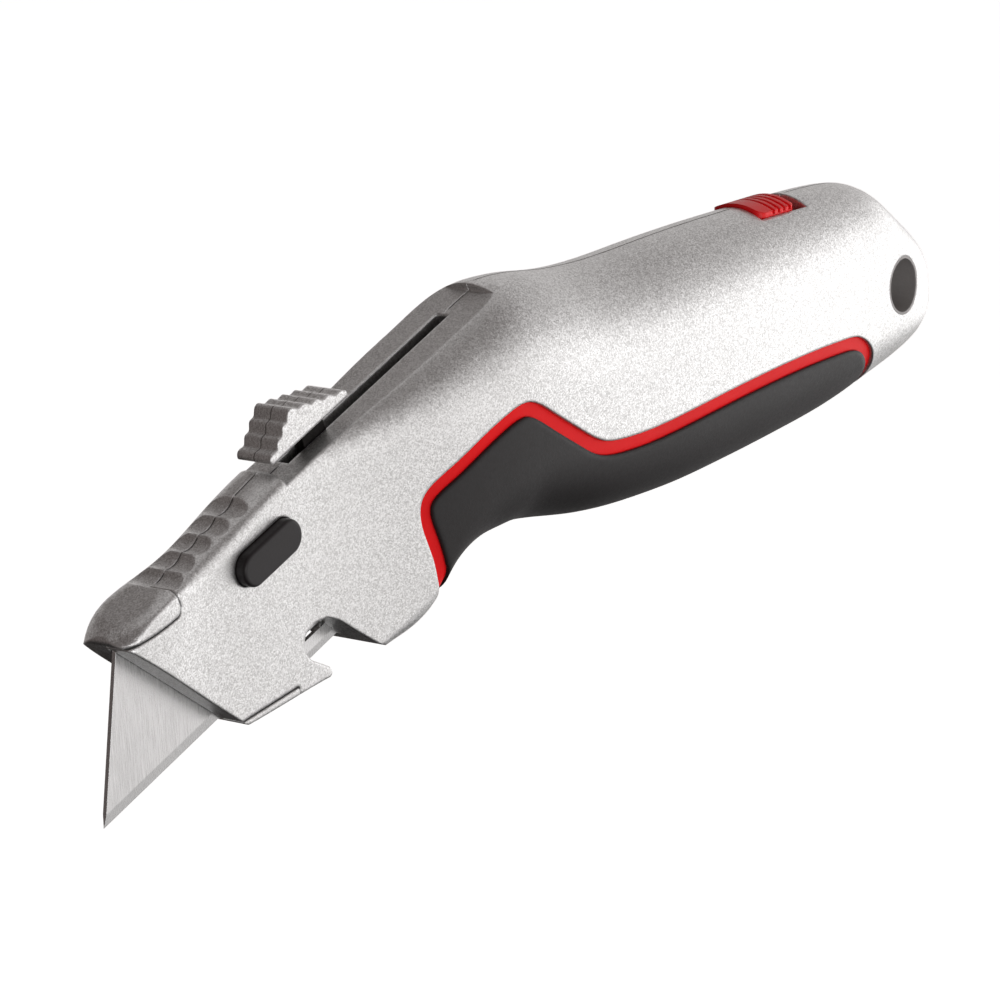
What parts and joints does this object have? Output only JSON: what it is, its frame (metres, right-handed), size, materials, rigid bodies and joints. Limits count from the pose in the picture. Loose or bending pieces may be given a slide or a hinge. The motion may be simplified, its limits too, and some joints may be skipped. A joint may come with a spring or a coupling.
{
  "type": "utility knife",
  "caption": "Retractable trapezoid-blade knife: grey die-cast clamshell body, sloping thumb slider, rubber grip with red edging, hanging hole and rear release button.",
  "frame": {"origin": "axis of the hanging hole, on the parting plane between the halves", "axes": "-X towards the nose, +Z towards the thumb slider, -Y the half that swings open; +Y along the hanging hole"},
  "size_m": [0.178, 0.0226, 0.0514],
  "materials": {
    "body_paint": "silver-grey sparkle lacquer, satin",
    "slider_paint": "silver-grey sparkle lacquer, satin",
    "rubber": "fine matt moulded rubber",
    "red_trim": "semi-gloss moulded",
    "red_plastic": "semi-gloss moulded",
    "dark_plastic": "satin moulded",
    "carrier_plastic": "moulded acetal",
    "blade_steel": "fine ground, brighter bevel",
    "spring_steel": "rolled spring steel",
    "screw_steel": "zinc-plated"
  },
  "bodies": {
    "right_half": {"right_shell": "body_paint", "right_grip": "rubber", "right_grip_trim": "red_trim", "right_hang_bush": "dark_plastic", "nose_guide": "spring_steel", "cord_cutter": "blade_steel", "detent_rail": "spring_steel", "rail_screws": "screw_steel", "locating_pins": "screw_steel", "spare_blade_tray": "carrier_plastic", "spare_blades": "blade_steel", "spare_blade_clip": "spring_steel", "release_spring": "spring_steel"},
    "left_half": {"left_shell": "body_paint", "left_grip": "rubber", "left_grip_trim": "red_trim", "left_hang_bush": "dark_plastic", "latch_keeper": "screw_steel", "blade_release_spring": "spring_steel"},
    "blade_sled": {"blade": "blade_steel", "blade_carrier": "carrier_plastic", "blade_clip": "spring_steel", "slider_spring": "spring_steel"},
    "slider": {"thumb_slider": "slider_paint"},
    "rear_release": {"release_button": "red_plastic", "release_latch": "carrier_plastic"},
    "nose_button": {"blade_release_button": "dark_plastic"}
  },
  "joints": [
    {"name": "blade_slide", "type": "slide", "parent": "right_half", "child": "blade_sled", "axis": [0.9444, 0, 0.3289], "range_m": [0, 0.0265]},
    {"name": "slider_press", "type": "slide", "parent": "blade_sled", "child": "slider", "axis": [0.3289, 0, -0.9444], "range_m": [0, 0.001], "stiffness_N_per_m": 1500, "springref_m": -0.001, "deforming": ["slider_spring"]},
    {"name": "left_half_open", "type": "hinge", "parent": "right_half", "child": "left_half", "pos_m": [-0.1621, -0.0042, 0], "axis": [0, 0, -1], "range_deg": [0, 25]},
    {"name": "rear_release_slide", "type": "slide", "parent": "right_half", "child": "rear_release", "axis": [1, 0, 0], "range_m": [0, 0.0022], "stiffness_N_per_m": 900, "springref_m": -0.001, "deforming": ["release_spring"]},
    {"name": "nose_button_press", "type": "slide", "parent": "left_half", "child": "nose_button", "axis": [0, 1, 0], "range_m": [0, 0.0012], "stiffness_N_per_m": 1200, "springref_m": -0.001, "deforming": ["blade_release_spring"]}
  ]
}
